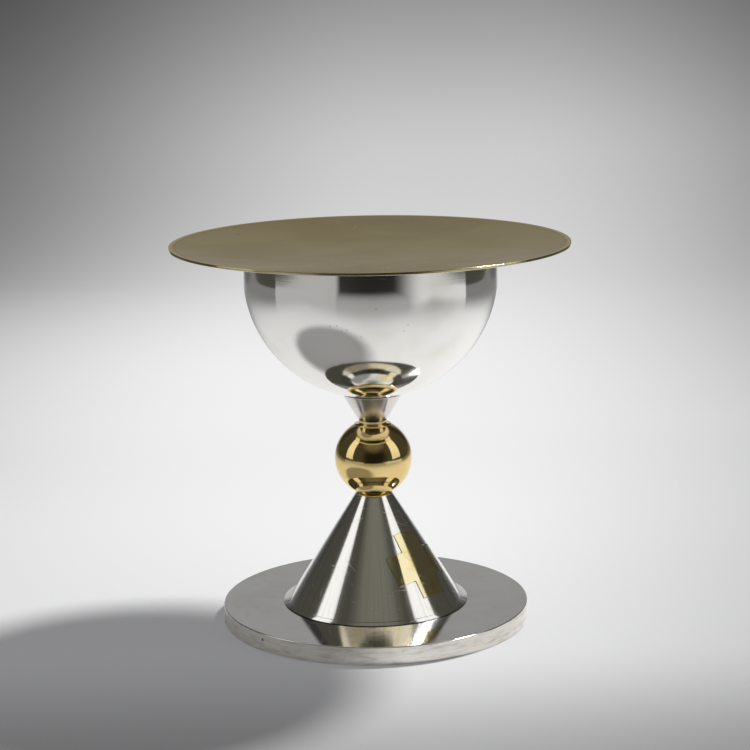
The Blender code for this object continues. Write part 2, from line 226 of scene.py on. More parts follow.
# painted light and shade: the mirrored table glows pale far out to both sides and fades to dark towards the
# camera
TABLE_LEFT_PAINTED_GLOW = (math.radians(-25.0), math.radians(-31.0), 0.0, 0.43)    # azimuths
TABLE_RIGHT_PAINTED_GLOW = (math.radians(16.0), math.radians(48.0), 0.0, 0.68)     # azimuths
TABLE_MIDDLE_PAINTED_SHADE = (-0.42, -1.10, 0.36, 0.015)
TABLE_TO_GLOW = (-0.22, -0.45, 0.0, 1.0)

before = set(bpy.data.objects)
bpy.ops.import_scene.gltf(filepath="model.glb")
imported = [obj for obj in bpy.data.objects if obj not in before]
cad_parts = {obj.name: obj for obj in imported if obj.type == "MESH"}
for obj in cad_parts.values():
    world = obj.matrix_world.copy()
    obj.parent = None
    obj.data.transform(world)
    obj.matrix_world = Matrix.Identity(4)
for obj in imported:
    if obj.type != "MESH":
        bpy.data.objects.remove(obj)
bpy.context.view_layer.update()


# --- turned shapes ---
@functools.cache
def extent(node):
    """Outer radius, lowest and highest height of a turned node."""
    low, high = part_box(node)
    return high.x, low.z, high.z


def rounded(outline):
    """Closed outline of (radius, height, fillet) corners, with an arc at each corner that has a fillet."""
    points = []
    count = len(outline)
    for index, (radius, height, fillet) in enumerate(outline):
        corner = Vector((radius, height))
        if fillet == 0.0:
            points.append(corner)
            continue
        before = Vector(outline[index - 1][:2]) - corner
        after = Vector(outline[(index + 1) % count][:2]) - corner
        half_angle = before.angle(after) / 2.0
        run = fillet / math.tan(half_angle)
        support = run + fillet * SUPPORT_SHARE
        inward = (before.normalized() + after.normalized()).normalized()
        centre = corner + inward * fillet / math.sin(half_angle)
        start = corner + before.normalized() * run - centre
        end = corner + after.normalized() * run - centre
        sweep = start.angle_signed(end)
        if before.length > 2.0 * support:
            points.append(corner + before.normalized() * support)
        for step in range(FILLET_STEPS + 1):
            turn = sweep * step / FILLET_STEPS
            # angle_signed counts clockwise turns as positive
            turned_start = Vector((start.x * math.cos(turn) + start.y * math.sin(turn),
                                   start.y * math.cos(turn) - start.x * math.sin(turn)))
            points.append(centre + turned_start)
        if after.length > 2.0 * support:
            points.append(corner + after.normalized() * support)
    return points


def arc(radius, centre_height, start_angle, end_angle, steps):
    """Outline points along an arc about the axis; angles are measured up from the horizontal."""
    points = []
    for step in range(steps + 1):
        angle = start_angle + (end_angle - start_angle) * step / steps
        points.append((radius * math.cos(angle), centre_height + radius * math.sin(angle), 0.0))
    return points


def straight(first, last, steps):
    """Outline points between two (radius, height) points, both left out."""
    points = []
    for step in range(1, steps):
        share = step / steps
        radius = first[0] + (last[0] - first[0]) * share
        height = first[1] + (last[1] - first[1]) * share
        points.append((radius, height, 0.0))
    return points


def bearing(azimuth, distance, height):
    """Point at a distance from the axis; the azimuth counts from the front towards +X."""
    return Vector((distance * math.sin(azimuth), -distance * math.cos(azimuth), height))


def smooth_object(name, builder):
    mesh = bpy.data.meshes.new(name)
    builder.to_mesh(mesh)
    builder.free()
    mesh.shade_smooth()
    piece = bpy.data.objects.new(name, mesh)
    bpy.context.scene.collection.objects.link(piece)
    return piece


def turned(name, outline, segments):
    """Smooth solid of revolution; its UV map holds the share of the turn and the metres of outline."""
    profile = rounded(outline)
    lengths = [0.0]
    for first, second in zip(profile, profile[1:] + profile[:1]):
        lengths.append(lengths[-1] + (second - first).length)
    builder = bmesh.new()
    along = builder.loops.layers.uv.new("turning")
    rings = []
    for radius, height in profile:
        if radius == 0.0:
            rings.append([builder.verts.new((0.0, 0.0, height))])
            continue
        ring = []
        for segment in range(segments):
            angle = 2.0 * math.pi * segment / segments
            ring.append(builder.verts.new((radius * math.cos(angle), radius * math.sin(angle), height)))
        rings.append(ring)
    for index, ring in enumerate(rings):
        following = rings[(index + 1) % len(rings)]
        if len(ring) == 1 and len(following) == 1:
            continue
        for segment in range(segments):
            corners = [
                (ring, segment, lengths[index]),
                (ring, segment + 1, lengths[index]),
                (following, segment + 1, lengths[index + 1]),
                (following, segment, lengths[index + 1]),
            ]
            vertices = []
            places = []
            for owner, turn, length in corners:
                vertex = owner[turn % len(owner)]
                if vertex in vertices:
                    continue
                vertices.append(vertex)
                places.append((turn / segments, length))
            face = builder.faces.new(vertices)
            for loop, place in zip(face.loops, places):
                loop[along].uv = place
    bmesh.ops.recalc_face_normals(builder, faces=builder.faces)
    return smooth_object(name, builder)


# --- materials ---
class Nodes:
    """Node tree with short names for the nodes that every look here uses."""

    def __init__(self, tree):
        self.tree = tree

    def node(self, kind, **settings):
        made = self.tree.nodes.new(kind)
        for setting, value in settings.items():
            setattr(made, setting, value)
        return made

    def link(self, source, target):
        self.tree.links.new(source, target)

    def feed(self, socket, value):
        if isinstance(value, bpy.types.NodeSocket):
            self.link(value, socket)
        else:
            socket.default_value = value

    def calc(self, operation, *values):
        made = self.node("ShaderNodeMath", operation=operation)
        for socket, value in zip(made.inputs, values):
            self.feed(socket, value)
        return made.outputs[0]

    def weighted(self, value, amount):
        return self.calc("MULTIPLY", value, amount)

    def fade(self, value, low, high, to_low=0.0, to_high=1.0):
        """Smooth step of a value, from one output to another."""
        made = self.node("ShaderNodeMapRange", interpolation_type="SMOOTHSTEP")
        for name, entry in (("Value", value), ("From Min", low), ("From Max", high),
                            ("To Min", to_low), ("To Max", to_high)):
            self.feed(made.inputs[name], entry)
        return made.outputs["Result"]

    def blend(self, share, first, second):
        """Colour between two colours."""
        made = self.node("ShaderNodeMix", data_type="RGBA")
        self.feed(made.inputs["Factor"], share)
        for name, entry in (("A", first), ("B", second)):
            socket = [s for s in made.inputs if s.name == name and s.type == "RGBA"][0]
            self.feed(socket, entry if isinstance(entry, bpy.types.NodeSocket) else (*entry, 1.0))
        return [s for s in made.outputs if s.type == "RGBA"][0]


class Look(Nodes):
    """One metal, whose coordinates are those of the object that wears it."""

    def __init__(self, name, brushing, edge_tint=WHITE):
        self.material = bpy.data.materials.new(name)
        self.material.use_nodes = True
        super().__init__(self.material.node_tree)
        self.shader = self.tree.nodes["Principled BSDF"]
        self.shader.inputs["Metallic"].default_value = 1.0
        self.shader.inputs["Anisotropic"].default_value = brushing
        self.shader.inputs["Specular Tint"].default_value = (*edge_tint, 1.0)
        place = self.node("ShaderNodeTexCoord")
        self.place = place.outputs["Object"]
        split = self.node("ShaderNodeSeparateXYZ")
        self.link(self.place, split.inputs[0])
        self.x, self.y, self.z = split.outputs
        self.radius = self.length(self.x, self.y)

    def length(self, first, second):
        first_square = self.calc("MULTIPLY", first, first)
        second_square = self.calc("MULTIPLY", second, second)
        return self.calc("SQRT", self.calc("ADD", first_square, second_square))

    def vector(self, x, y, z):
        made = self.node("ShaderNodeCombineXYZ")
        for socket, value in zip(made.inputs, (x, y, z)):
            self.feed(socket, value)
        return made.outputs[0]

    def noise(self, vector, scale, detail, roughness=0.5):
        made = self.node("ShaderNodeTexNoise")
        self.link(vector, made.inputs["Vector"])
        made.inputs["Scale"].default_value = scale
        made.inputs["Detail"].default_value = detail
        made.inputs["Roughness"].default_value = roughness
        return made.outputs["Fac"]

    def along(self):
        """Metres along a turned outline."""
        uv = self.node("ShaderNodeUVMap", uv_map="turning")
        split = self.node("ShaderNodeSeparateXYZ")
        self.link(uv.outputs["UV"], split.inputs[0])
        return split.outputs["Y"]

    def ring_noise(self, spacing, drift=25.0, detail=3.0):
        """Lines turned round the axis, about so many metres apart."""
        vector = self.vector(self.calc("MULTIPLY", self.x, drift), self.calc("MULTIPLY", self.y, drift),
                             self.calc("DIVIDE", self.along(), spacing))
        return self.noise(vector, 1.0, detail)

    def slant_noise(self, lines_round, drift=25.0, detail=3.0):
        """Lines down the slope, about so many for each radian."""
        round_x = self.calc("MULTIPLY", self.calc("DIVIDE", self.x, self.radius), lines_round)
        round_y = self.calc("MULTIPLY", self.calc("DIVIDE", self.y, self.radius), lines_round)
        vector = self.vector(round_x, round_y, self.calc("MULTIPLY", self.z, drift))
        return self.noise(vector, 1.0, detail)

    def scratches(self, cell, length, width, share, level=False):
        """Mask of fine straight scratches, at most one in each cell and only in a share of the cells.

        Each one is a thin slice through the metal, turned its own way, that shows where it meets the
        surface. On a level surface the slices stay upright, so that none lies flat in it.
        """
        cells = self.node("ShaderNodeTexVoronoi", feature="F1")
        self.link(self.place, cells.inputs["Vector"])
        cells.inputs["Scale"].default_value = 1.0 / cell
        offset = self.node("ShaderNodeVectorMath", operation="SUBTRACT")
        self.link(self.place, offset.inputs[0])
        self.link(cells.outputs["Position"], offset.inputs[1])
        chance = self.node("ShaderNodeSeparateColor")
        self.link(cells.outputs["Color"], chance.inputs[0])
        turn = self.node("ShaderNodeVectorRotate", rotation_type="EULER_XYZ")
        self.link(offset.outputs[0], turn.inputs["Vector"])
        tilt_x, tilt_y, heading = [self.calc("MULTIPLY", part, 2.0 * math.pi) for part in chance.outputs]
        angles = self.vector(0.0, 0.0, heading) if level else self.vector(tilt_x, tilt_y, heading)
        self.link(angles, turn.inputs["Rotation"])
        local = self.node("ShaderNodeSeparateXYZ")
        self.link(turn.outputs[0], local.inputs[0])
        thin = self.near_zero(local.outputs[1], width * SCRATCH_CORE, width)
        short = self.near_zero(local.outputs[0], length * STROKE_FULL, length / 2.0)
        chosen = self.calc("LESS_THAN", chance.outputs[1], share)
        return self.calc("MULTIPLY", self.calc("MULTIPLY", thin, short), chosen)

    def spot(self, place, radius, ragged=0.4):
        """Soft mask round one point, with a ragged outline."""
        reach = self.node("ShaderNodeVectorMath", operation="DISTANCE")
        self.link(self.place, reach.inputs[0])
        reach.inputs[1].default_value = place
        ripples = self.noise(self.place, SPOT_GRAIN / radius, detail=3.0)
        rough = self.weighted(ripples, radius * ragged * 2.0)
        return self.fade(self.calc("ADD", reach.outputs["Value"], rough),
                         radius * (1.0 - SPOT_SOFTNESS), radius * (1.0 + SPOT_SOFTNESS), 1.0, 0.0)

    def stroke(self, place, heading, length, width):
        """Mask of one straight scratch as seen from above; heading is in degrees from +X towards +Y."""
        turn = math.radians(heading)
        across = self.calc("SUBTRACT", self.x, place[0])
        away = self.calc("SUBTRACT", self.y, place[1])
        run = self.mixed(self.weighted(across, math.cos(turn)), self.weighted(away, math.sin(turn)))
        aside = self.mixed(self.weighted(away, math.cos(turn)), self.weighted(across, -math.sin(turn)))
        short = self.near_zero(run, length * STROKE_FULL, length / 2.0)
        thin = self.near_zero(aside, width * STROKE_FULL, width * STROKE_FADED)
        return self.calc("MULTIPLY", short, thin)

    def band(self, value, middle, half_width):
        """Soft mask of the places where a value is near its middle."""
        return self.near_zero(self.calc("SUBTRACT", value, middle), half_width * BAND_CORE, half_width)

    def near_zero(self, value, full, gone):
        """Mask that is 1 while a value, of either sign, is below one size and fades to 0 at another."""
        return self.fade(self.calc("ABSOLUTE", value), full, gone, 1.0, 0.0)

    def between(self, noise, least, most):
        """Spreads a noise over a range."""
        return self.fade(noise, *NOISE_RANGE, least, most)

    def mixed(self, *masks):
        """Sum of several masks, each already weighted."""
        total = masks[0]
        for mask in masks[1:]:
            total = self.calc("ADD", total, mask)
        return total

    def bump(self, height, microns):
        made = self.node("ShaderNodeBump")
        made.inputs["Strength"].default_value = 1.0
        made.inputs["Distance"].default_value = microns * MICRON
        self.link(height, made.inputs["Height"])
        if self.shader.inputs["Normal"].links:
            self.link(self.shader.inputs["Normal"].links[0].from_socket, made.inputs["Normal"])
        self.link(made.outputs[0], self.shader.inputs["Normal"])

    def turned_grain(self, quarter_turn=0.25):
        """Stretches highlights across lines that run round the axis; 0.0 is for lines down the slope."""
        tangent = self.node("ShaderNodeTangent", direction_type="RADIAL", axis="Z")
        self.link(tangent.outputs[0], self.shader.inputs["Tangent"])
        self.shader.inputs["Anisotropic Rotation"].default_value = quarter_turn

    def colour(self, value):
        self.link(value, self.shader.inputs["Base Color"])

    def roughness(self, base, *layers):
        """Roughness from a base and from (mask, amount) layers on it."""
        total = base
        for mask, amount in layers:
            total = self.calc("ADD", total, self.weighted(mask, amount))
        self.link(total, self.shader.inputs["Roughness"])


def bowl_silver():
    look = Look("bowl_silver", brushing=0.3)
    look.turned_grain()
    lines = look.ring_noise(spacing=0.00035)
    ripples = look.ring_noise(spacing=0.0016, drift=8.0, detail=2.0)
    clouds = look.noise(look.place, scale=28.0, detail=3.0)
    dents = look.noise(look.place, scale=45.0, detail=1.0)
    pits = look.mixed(*[look.spot(place, PIT_RADIUS) for place in BOWL_PITS])
    smudge = look.spot(BOWL_SMUDGE, BOWL_SMUDGE_RADIUS, ragged=0.9)
    scratches = look.scratches(cell=0.012, length=0.012, width=0.00012, share=0.4)
    film = look.mixed(look.fade(clouds, low=0.45, high=0.8), look.weighted(smudge, 0.5))
    metal = look.blend(film, SILVER, SILVER_FILM)
    look.colour(look.blend(look.weighted(pits, 0.7), metal, TARNISH_DEEP))
    look.roughness(look.between(clouds, 0.035, 0.065), (lines, 0.04), (scratches, 0.12), (smudge, 0.12))
    look.bump(lines, microns=1.6)
    look.bump(ripples, microns=3.0)
    look.bump(dents, microns=10.0)
    look.bump(look.mixed(look.weighted(scratches, 0.3), pits), microns=10.0)
    return look.material


def plain_gilt(name, smoothest, roughest):
    look = Look(name, brushing=0.4)
    look.turned_grain()
    clouds = look.noise(look.place, scale=60.0, detail=3.0)
    scratches = look.scratches(cell=0.006, length=0.005, width=0.0001, share=0.5)
    look.colour(look.blend(look.fade(clouds, low=0.35, high=0.7), GILT, GILT_PALE))
    look.roughness(look.between(clouds, smoothest, roughest), (scratches, 0.15))
    look.bump(look.ring_noise(spacing=0.0004), microns=0.8)
    return look.material


def cross_gilt():
    look = Look("worn_gilt_cross", brushing=0.0)
    clouds = look.noise(look.place, scale=120.0, detail=4.0)
    scratches = look.scratches(cell=0.0045, length=0.007, width=0.0001, share=0.6)
    look.colour(look.blend(look.fade(clouds, low=0.4, high=0.8), GILT_WORN, GILT_PALE))
    look.roughness(look.between(clouds, 0.06, 0.12), (scratches, 0.15))
    look.bump(look.mixed(clouds, look.weighted(scratches, 0.5)), microns=6.0)
    return look.material


def dish_gilt():
    """Satin gilding scratched by use, with a darker line near the edge and a pale band there that is a
    painted highlight on the lip.
    """
    look = Look("dish_gilt", brushing=0.3, edge_tint=DISH_EDGE_TINT)
    look.turned_grain()
    lines = look.ring_noise(spacing=0.0005)
    clouds = look.noise(look.place, scale=22.0, detail=4.0)
    strokes = look.mixed(*[look.stroke(*stroke) for stroke in DISH_STROKES])
    fine = look.scratches(cell=0.012, length=0.008, width=0.00014, share=0.35, level=True)
    edge_line = look.band(look.radius, DISH_LINE_RADIUS, DISH_LINE_WIDTH)
    # painted highlight: pale band near the rim, standing in for the light on the lip
    painted_lip_highlight = look.band(look.radius, DISH_HIGHLIGHT_RADIUS, DISH_HIGHLIGHT_WIDTH)
    smudge = look.spot(DISH_SMUDGE, DISH_SMUDGE_RADIUS, ragged=0.8)
    gilding = look.blend(look.fade(clouds, low=0.35, high=0.7), DISH_GILT, DISH_GILT_DARK)
    gilding = look.blend(look.weighted(painted_lip_highlight, 0.9), gilding, GILT_WORN)
    smudge_and_dark_line = look.mixed(look.weighted(edge_line, 0.45), look.weighted(smudge, 0.7))
    look.colour(look.blend(smudge_and_dark_line, gilding, TARNISH))
    look.roughness(look.between(clouds, 0.10, 0.16), (lines, 0.05), (strokes, 0.20), (fine, 0.06))
    look.bump(lines, microns=1.0)
    look.bump(look.mixed(strokes, look.weighted(fine, 0.3)), microns=8.0)
    return look.material


def dish_underside():
    """Thinly gilded silver, much of it worn pale."""
    look = Look("dish_underside", brushing=0.4)
    look.turned_grain()
    lines = look.ring_noise(spacing=0.0005)
    clouds = look.noise(look.place, scale=30.0, detail=4.0)
    look.colour(look.blend(look.fade(clouds, low=0.35, high=0.7), DISH_UNDER, GILT_WORN))
    look.roughness(look.between(clouds, 0.09, 0.15), (lines, 0.04))
    look.bump(lines, microns=1.0)
    return look.material


def cone_silver():
    """Polished silver, finely brushed down the slope."""
    look = Look("cone_silver", brushing=0.4)
    look.turned_grain(quarter_turn=0.0)
    lines = look.slant_noise(lines_round=260.0)
    bands = look.slant_noise(lines_round=45.0, drift=12.0)
    scratches = look.scratches(cell=0.007, length=0.010, width=0.00011, share=0.4)
    look.colour(look.blend(look.fade(bands, low=0.45, high=0.8), SILVER, SILVER_FILM))
    look.roughness(look.between(lines, 0.07, 0.13), (scratches, 0.16))
    look.bump(lines, microns=2.2)
    look.bump(scratches, microns=3.0)
    return look.material


def collar_silver():
    look = Look("collar_silver", brushing=0.5)
    look.turned_grain()
    lines = look.ring_noise(spacing=0.0003)
    clouds = look.noise(look.place, scale=90.0, detail=3.0)
    look.colour(look.blend(look.fade(clouds, low=0.35, high=0.75), SILVER_GREY, SILVER_FILM))
    look.roughness(look.between(clouds, 0.13, 0.19), (lines, 0.06))
    look.bump(lines, microns=2.0)
    return look.material


def plate_silver():
    """Mirror-like on top; tarnished and streaked round its edge."""
    look = Look("plate_silver", brushing=0.25)
    look.turned_grain()
    lines = look.ring_noise(spacing=0.0006)
    clouds = look.noise(look.place, scale=40.0, detail=4.0)
    side = look.fade(look.z, PLATE_SIDE_TOP - PLATE_SIDE_FADE, PLATE_SIDE_TOP, 1.0, 0.0)
    stretched = look.vector(*[look.weighted(part, lines_per_metre)
                              for part, lines_per_metre in zip((look.x, look.y, look.z), STREAK_GRAIN)])
    streaks = look.fade(look.noise(stretched, scale=1.0, detail=5.0, roughness=0.65), low=0.42, high=0.75)
    side_streaks = look.calc("MULTIPLY", side, streaks)
    scratches = look.scratches(cell=0.011, length=0.010, width=0.00012, share=0.4)
    nick = look.spot(PLATE_NICK, PLATE_NICK_RADIUS)
    smudges = look.fade(look.noise(look.place, scale=70.0, detail=5.0, roughness=0.65), low=0.58, high=0.72)
    metal = look.blend(look.fade(clouds, low=0.4, high=0.75), SILVER, PLATE_FILM)
    worn = look.mixed(look.weighted(side_streaks, 0.45), look.weighted(side, 0.22),
                      look.weighted(smudges, 0.18))
    metal = look.blend(worn, metal, TARNISH)
    look.colour(look.blend(nick, metal, TARNISH_DEEP))
    look.roughness(look.between(clouds, 0.04, 0.07), (lines, 0.03), (side, 0.16), (scratches, 0.15),
                   (smudges, 0.10))
    look.bump(lines, microns=1.0)
    look.bump(side_streaks, microns=20.0)
    look.bump(scratches, microns=6.0)
    return look.material


def hidden_metal(name, colour, smoothest, roughest):
    """Machined metal of the pieces inside the stem."""
    look = Look(name, brushing=0.3)
    clouds = look.noise(look.place, scale=90.0, detail=3.0)
    darker = tuple(part * HIDDEN_SHADE for part in colour)
    look.colour(look.blend(look.fade(clouds, low=0.4, high=0.7), colour, darker))
    look.roughness(look.between(clouds, smoothest, roughest))
    return look.material


# --- pieces ---
def dress(piece, body, slot, nodes, *materials):
    for material in materials:
        piece.data.materials.append(material)
    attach(piece, body)
    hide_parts(*nodes)


def turned_piece(node, outline, segments, slot, *looks, body="vessel"):
    """Turned piece that stands in for one node of the frame."""
    piece = turned(node + "_turned", outline, segments)
    dress(piece, body, slot, [node], *looks)
    return piece


def make_plate(look):
    radius, bottom, top = extent("base_plate")
    outline = [
        (radius, top, PLATE_EDGE_RADIUS),
        (radius, bottom, PLATE_EDGE_RADIUS),
        (RECESS_RADIUS, bottom, THIN_EDGE_RADIUS),
        (RECESS_RADIUS, bottom + RECESS_DEPTH, 0.0),
        (BORE_RADIUS, bottom + RECESS_DEPTH, 0.0),
        (BORE_RADIUS, top, THIN_EDGE_RADIUS),
    ]
    turned_piece("base_plate", outline, WIDE_SEGMENTS, "worn_silver", look)


def make_recess_cover(look):
    radius, bottom, top = extent("recess_cover")
    outline = [
        (0.0, top, 0.0),
        (radius, top, THIN_EDGE_RADIUS),
        (radius, bottom, THIN_EDGE_RADIUS),
        (0.0, bottom, 0.0),
    ]
    turned_piece("recess_cover", outline, NARROW_SEGMENTS, "worn_silver", look)


def make_foot_ring(look):
    """Thin flange that flares out from the foot of the cone."""
    radius, bottom, _ = extent("foot_ring")
    cone_foot_radius, cone_foot, _ = extent("foot_cone")
    seam = cone_foot - SEAM_GAP
    outline = [
        (RING_INNER_RADIUS, seam, 0.0),
        (cone_foot_radius, seam, 0.0),
        (radius, bottom + RING_LIP, 0.0),
        (radius, bottom, 0.0),
        (RING_INNER_RADIUS, bottom, 0.0),
    ]
    ring = turned_piece("foot_ring", outline, WIDE_SEGMENTS, "worn_silver", look)
    set_cone_normals(ring.data, RING_NORMAL_REACH)


def cone_slope():
    """Growth of the cone's radius for each metre downwards."""
    radius, bottom, top = extent("foot_cone")
    return (radius - CONE_TOP_RADIUS) / (top - bottom)


def cone_radius(height):
    return CONE_TOP_RADIUS + cone_slope() * (extent("foot_cone")[2] - height)


def on_cone(along, across, lift):
    """Point of the cone's developed face, lifted off it along its normal.

    `along` runs down the slant from the middle of the cross and `across` runs square to it.
    """
    slope = cone_slope()
    crown = extent("foot_cone")[2]
    slant_per_height = math.sqrt(1.0 + slope ** 2)
    centre_slant = cone_radius(crown - CROSS_CENTRE_BELOW_CROWN) * slant_per_height / slope
    slant = math.hypot(centre_slant + along, across)
    opening = math.atan2(across, centre_slant + along)
    azimuth = CROSS_AZIMUTH + opening * slant_per_height / slope
    radius = slant * slope / slant_per_height
    height = crown - (radius - CONE_TOP_RADIUS) / slope
    outward = bearing(azimuth, 1.0, slope) / slant_per_height
    return bearing(azimuth, radius, height) + outward * lift


def cuts(start, length, steps):
    """Values that cut a length into equal steps, without its two ends."""
    return [start + length * step / steps for step in range(1, steps)]


def cross_lines(half_bar, half_span, edge):
    """Grid lines across the cross, with an extra line just inside each outer edge."""
    arm = half_span - half_bar
    lines = [-half_span, -half_span + edge, *cuts(-half_span, arm, CROSS_ARM_STEPS)]
    lines += [-half_bar, -half_bar + edge, *cuts(-half_bar, 2.0 * half_bar, CROSS_BAR_STEPS)]
    lines += [half_bar - edge, half_bar, *cuts(half_bar, arm, CROSS_ARM_STEPS)]
    return lines + [half_span - edge, half_span]


def cross_slab(name, growth, inner_lift, outer_lift, edge_drop):
    """Equal-armed cross bent to the cone, between two lifts off its face; its outer edge is dropped."""
    half_bar = CROSS_HALF_BAR + growth
    half_span = CROSS_HALF_SPAN + growth
    lines = cross_lines(half_bar, half_span, CROSS_EDGE_BREAK)
    builder = bmesh.new()
    corners = {}

    def in_cross(along, across):
        inside_span = abs(along) < half_span and abs(across) < half_span
        return inside_span and (abs(along) < half_bar or abs(across) < half_bar)

    def filled(row, column):
        if not (0 <= row < len(lines) - 1 and 0 <= column < len(lines) - 1):
            return False
        return in_cross((lines[row] + lines[row + 1]) / 2.0, (lines[column] + lines[column + 1]) / 2.0)

    def on_edge(row, column):
        around = [(row - 1, column - 1), (row - 1, column), (row, column - 1), (row, column)]
        return not all(filled(*cell) for cell in around)

    def corner(row, column, outside):
        key = (row, column, outside)
        if key not in corners:
            lift = outer_lift if outside else inner_lift
            if outside and on_edge(row, column):
                lift -= edge_drop
            corners[key] = builder.verts.new(on_cone(lines[row], lines[column], lift))
        return corners[key]

    for row in range(len(lines) - 1):
        for column in range(len(lines) - 1):
            if not filled(row, column):
                continue
            cell = [(row, column), (row, column + 1), (row + 1, column + 1), (row + 1, column)]
            builder.faces.new([corner(r, c, True) for r, c in cell])
            builder.faces.new([corner(r, c, False) for r, c in reversed(cell)])
            neighbours = [(row - 1, column), (row, column + 1), (row + 1, column), (row, column - 1)]
            for edge, neighbour in enumerate(neighbours):
                if filled(*neighbour):
                    continue
                first = cell[edge]
                second = cell[(edge + 1) % len(cell)]
                builder.faces.new([corner(*first, True), corner(*first, False),
                                   corner(*second, False), corner(*second, True)])
    bmesh.ops.recalc_face_normals(builder, faces=builder.faces)
    cross = smooth_object(name, builder)
    cross.data.set_sharp_from_angle(angle=CROSS_SHARP_ANGLE)
    return cross


def make_cone(look):
    radius, bottom, top = extent("foot_cone")
    slope = cone_slope()
    inset = CONE_WALL * math.sqrt(1.0 + slope ** 2)
    crown_underside = top - CONE_CROWN_THICKNESS
    outline = [(CONE_TOP_RADIUS, top, CONE_EDGE_RADIUS)]
    outline += straight((CONE_TOP_RADIUS, top), (radius, bottom), CONE_STEPS)
    outline += [
        (radius, bottom, THIN_EDGE_RADIUS),
        (radius - inset, bottom, 0.0),
        (cone_radius(crown_underside) - inset, crown_underside, 0.0),
        (BORE_RADIUS, crown_underside, 0.0),
        (BORE_RADIUS, top, 0.0),
    ]
    cone = turned("foot_cone_turned", outline, WIDE_SEGMENTS)
    cutter = cross_slab("cross_pocket_cutter", POCKET_MARGIN, -POCKET_DEPTH, POCKET_OVERSHOOT, 0.0)
    pocket = cone.modifiers.new("cross_pocket", "BOOLEAN")
    pocket.operation = "DIFFERENCE"
    pocket.solver = "EXACT"
    pocket.object = cutter
    apply_modifiers(cone)
    bpy.data.objects.remove(cutter, do_unlink=True)
    set_cone_normals(cone.data, CONE_NORMAL_REACH)
    dress(cone, "vessel", "silver", ["foot_cone"], look)


def apply_modifiers(piece):
    graph = bpy.context.evaluated_depsgraph_get()
    baked = bpy.data.meshes.new_from_object(piece.evaluated_get(graph), depsgraph=graph)
    piece.modifiers.clear()
    piece.data = baked


def set_cone_normals(mesh, reach):
    """Gives every corner of a slanted face the cone's own normal, and each other face its flat one."""
    slope = cone_slope()
    slant_per_height = math.sqrt(1.0 + slope ** 2)

    def cone_normal(place):
        out = Vector((place.x, place.y, 0.0)).normalized()
        return Vector((out.x, out.y, slope)) / slant_per_height

    normals = [Vector((0.0, 0.0, 0.0))] * len(mesh.loops)
    for face in mesh.polygons:
        slanted = face.normal.dot(cone_normal(face.center)) > reach
        for index in face.loop_indices:
            corner = mesh.vertices[mesh.loops[index].vertex_index].co
            normals[index] = cone_normal(corner) if slanted else face.normal.copy()
    mesh.normals_split_custom_set(normals)


def make_cross(look):
    cross = cross_slab("cross_inlay_engraved", 0.0, -CROSS_SUNK, CROSS_PROUD, CROSS_EDGE_BREAK)
    dress(cross, "vessel", "polished_gilt", ["cross_inlay"], look)


def make_washer(node, look):
    """Washer with a thin brim, drawn tight between its neighbours so that no light passes under it."""
    radius, bottom, top = extent(node)
    low = bottom - WASHER_SQUEEZE
    high = top + WASHER_SQUEEZE
    brim = radius - WASHER_SET_BACK
    core = extent("stem_neck")[0]
    outline = [
        (core, high, 0.0),
        (core, low + WASHER_BRIM, 0.0),
        (brim, low + WASHER_BRIM, 0.0),
        (brim, low, 0.0),
        (BORE_RADIUS, low, 0.0),
        (BORE_RADIUS, high, 0.0),
    ]
    turned_piece(node, outline, NARROW_SEGMENTS, "polished_gilt", look)


def make_ball(look):
    radius, bottom, top = extent("knop_ball")
    centre = (bottom + top) / 2.0
    half_height = (top - bottom) / 2.0
    limit = math.asin(half_height / radius)
    inner_radius = radius - BALL_WALL
    inner_limit = math.asin((half_height - BALL_WALL) / inner_radius)
    face = arc(radius, centre, limit, -limit, BALL_STEPS)
    for end in (0, -1):
        face[end] = (*face[end][:2], BALL_EDGE_RADIUS)
    outline = [(BALL_BORE_RADIUS, top, 0.0)] + face
    outline += [(BALL_BORE_RADIUS, bottom, 0.0), (BALL_BORE_RADIUS, bottom + BALL_WALL, 0.0)]
    outline += arc(inner_radius, centre, -inner_limit, inner_limit, BALL_INNER_STEPS)
    outline += [(BALL_BORE_RADIUS, top - BALL_WALL, 0.0)]
    turned_piece("knop_ball", outline, NARROW_SEGMENTS, "polished_gilt", look)


def make_neck(look):
    radius, bottom, top = extent("stem_neck")
    under_collar = top - COLLAR_DROP
    outline = [
        (radius, under_collar, THIN_EDGE_RADIUS),
        (radius, bottom, THIN_EDGE_RADIUS),
        (BORE_RADIUS, bottom, 0.0),
        (BORE_RADIUS, under_collar, 0.0),
    ]
    turned_piece("stem_neck", outline, NARROW_SEGMENTS, "polished_gilt", look)


def make_collar(look):
    radius, bottom, top = extent("stem_collar")
    bottom -= COLLAR_DROP
    inner_top_radius = radius - COLLAR_WALL
    inner_top = bowl_outer_height(inner_top_radius) - (bowl_outer_height(radius) - top)
    outline = [(radius, top, THIN_EDGE_RADIUS)]
    outline += straight((radius, top), (COLLAR_BOTTOM_RADIUS, bottom), CONE_STEPS)
    outline += [
        (COLLAR_BOTTOM_RADIUS, bottom, THIN_EDGE_RADIUS),
        (COLLAR_BOTTOM_RADIUS - COLLAR_WALL, bottom, 0.0),
        (inner_top_radius, inner_top, 0.0),
    ]
    turned_piece("stem_collar", outline, NARROW_SEGMENTS, "silver", look)


def bowl_centre():
    radius, bottom, _ = extent("bowl_shell")
    return bottom + radius


def bowl_outer_height(radius):
    """Height of the underside of the bowl at a radius."""
    return bowl_centre() - math.sqrt(extent("bowl_shell")[0] ** 2 - radius ** 2)


